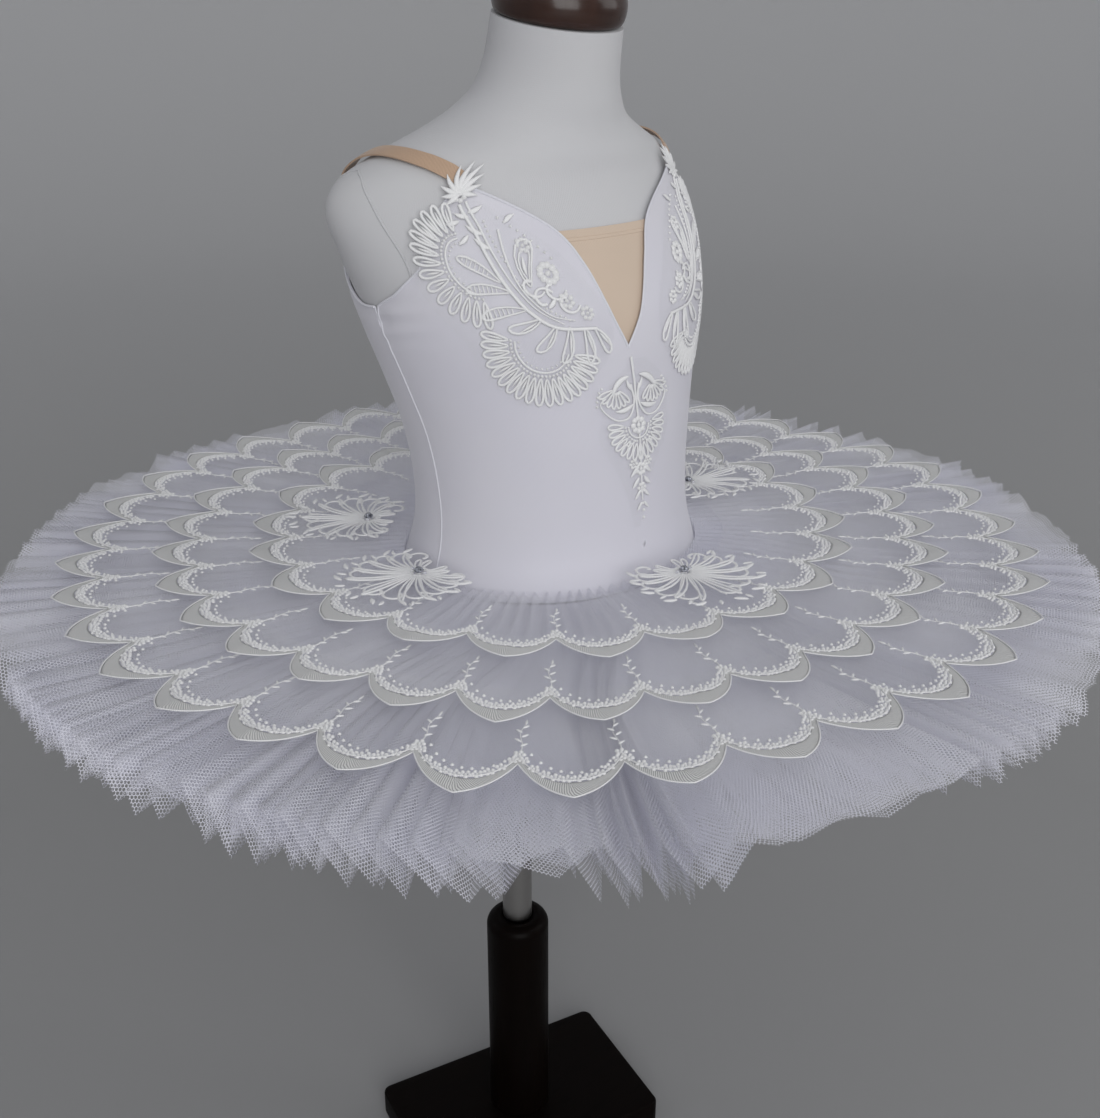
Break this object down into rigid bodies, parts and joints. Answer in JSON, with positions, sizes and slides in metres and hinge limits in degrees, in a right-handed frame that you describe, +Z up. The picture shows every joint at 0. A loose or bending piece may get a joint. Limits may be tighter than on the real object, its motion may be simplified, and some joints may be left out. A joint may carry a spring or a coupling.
{
  "type": "child's pancake ballet tutu on a limbless dress form with a stand",
  "caption": "White pancake ballet tutu with pleated net layers, scalloped lace edgings and a corded V-neck bodice, on a limbless child's dress form with a wooden stand.",
  "frame": {"origin": "middle of the whole object's outline, on the surface that the base plate stands on", "axes": "+Z up; the form faces -Y, so the wearer's left is +X"},
  "size_m": [0.68, 0.68, 0.8822],
  "materials": {
    "form_cloth": "matte",
    "dark_wood": "gloss",
    "steel": "satin",
    "bodice_cloth": "satin",
    "nude_cloth": "satin",
    "net": "matte",
    "lace": "satin",
    "stone": "polished"
  },
  "bodies": {
    "root": {"applique_centre": "lace", "applique_left": "lace", "applique_right": "lace", "base_plate": "dark_wood", "bodice_back": "bodice_cloth", "bodice_front": "bodice_cloth", "brief_back": "bodice_cloth", "brief_front": "bodice_cloth", "column": "dark_wood", "flower_stone_back_left": "stone", "flower_stone_back_right": "stone", "flower_stone_front": "stone", "flower_stone_side_left": "stone", "flower_stone_side_right": "stone", "form_torso": "form_cloth", "lace_tier_inner": "lace", "lace_tier_middle": "lace", "lace_tier_outer": "lace", "neck_cap": "dark_wood", "net_layer_1": "net", "net_layer_2": "net", "net_layer_3": "net", "net_layer_4": "net", "pole": "steel", "skirt_flower_back_left": "lace", "skirt_flower_back_right": "lace", "skirt_flower_front": "lace", "skirt_flower_side_left": "lace", "skirt_flower_side_right": "lace", "strap_left": "nude_cloth", "strap_right": "nude_cloth", "v_insert": "nude_cloth"}
  },
  "joints": []
}
